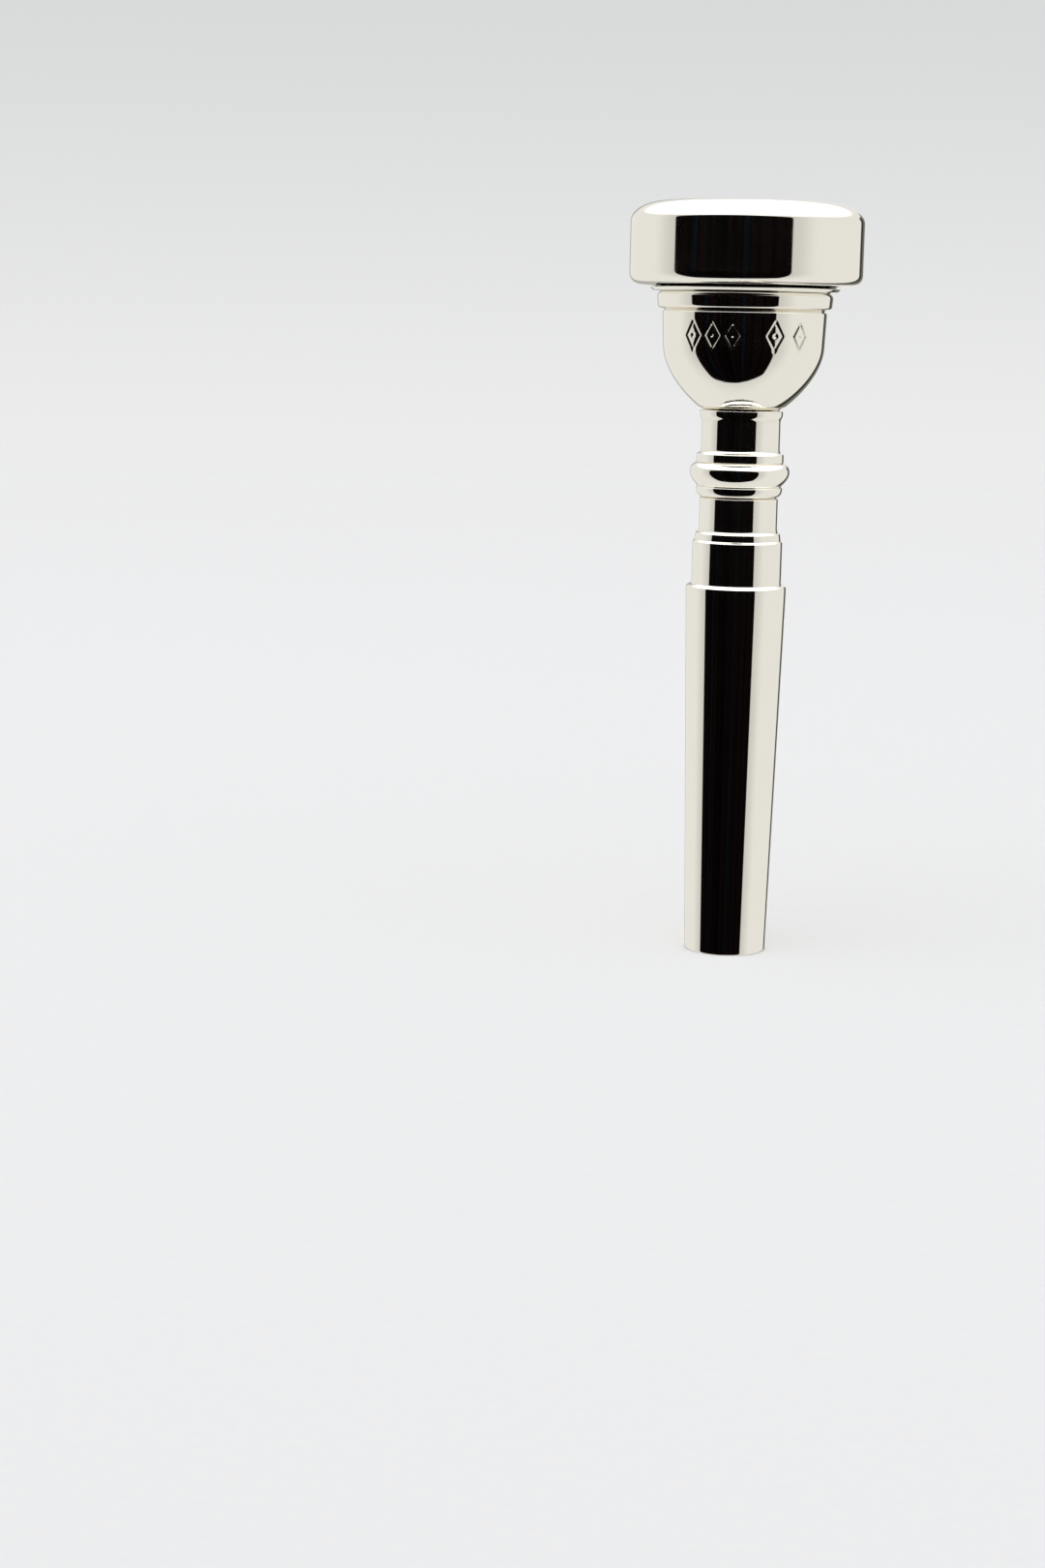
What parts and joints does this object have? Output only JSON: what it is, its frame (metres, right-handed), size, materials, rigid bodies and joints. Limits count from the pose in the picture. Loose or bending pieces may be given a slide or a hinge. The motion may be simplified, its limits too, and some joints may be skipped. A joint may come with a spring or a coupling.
{
  "type": "screw-together trumpet mouthpiece",
  "caption": "Silver-plated brass trumpet mouthpiece with a screw rim, a screwed cup and a tapered shank, sealed at each joint by a rubber ring.",
  "frame": {"origin": "centre of the shank's small end, on the bore's axis", "axes": "+Z along the bore's axis, from the shank's small end up to the rim that the lips rest on"},
  "size_m": [0.0272, 0.0272, 0.0885],
  "materials": {
    "backbore": "turned brass, buffed and silver plated, mirror bright",
    "cup": "turned brass, buffed and silver plated, mirror bright",
    "rim": "turned brass, buffed and silver plated, mirror bright",
    "seals": "moulded black nitrile rubber, satin"
  },
  "bodies": {
    "backbore": {"backbore": "backbore"},
    "backbore_seal": {"backbore_seal": "seals"},
    "cup": {"cup": "cup"},
    "rim_seal": {"rim_seal": "seals"},
    "rim": {"rim": "rim"}
  },
  "joints": [
    {"name": "cup_rise", "type": "slide", "parent": "backbore", "child": "backbore_seal", "axis": [0, 0, 1], "range_m": [0, 0.0035]},
    {"name": "cup_turn", "type": "hinge", "parent": "backbore_seal", "child": "cup", "pos_m": [0, 0, 0.0647], "axis": [0, 0, 1], "range_deg": [0, 1261]},
    {"name": "rim_rise", "type": "slide", "parent": "cup", "child": "rim_seal", "axis": [0, 0, 1], "range_m": [0, 0.0025]},
    {"name": "rim_turn", "type": "hinge", "parent": "rim_seal", "child": "rim", "pos_m": [0, 0, 0.0792], "axis": [0, 0, 1], "range_deg": [0, 901]}
  ],
  "couplings": [
    {"joint": "cup_turn", "follows": "cup_rise", "rad_per_m": 6283.2},
    {"joint": "rim_turn", "follows": "rim_rise", "rad_per_m": 6283.2}
  ]
}
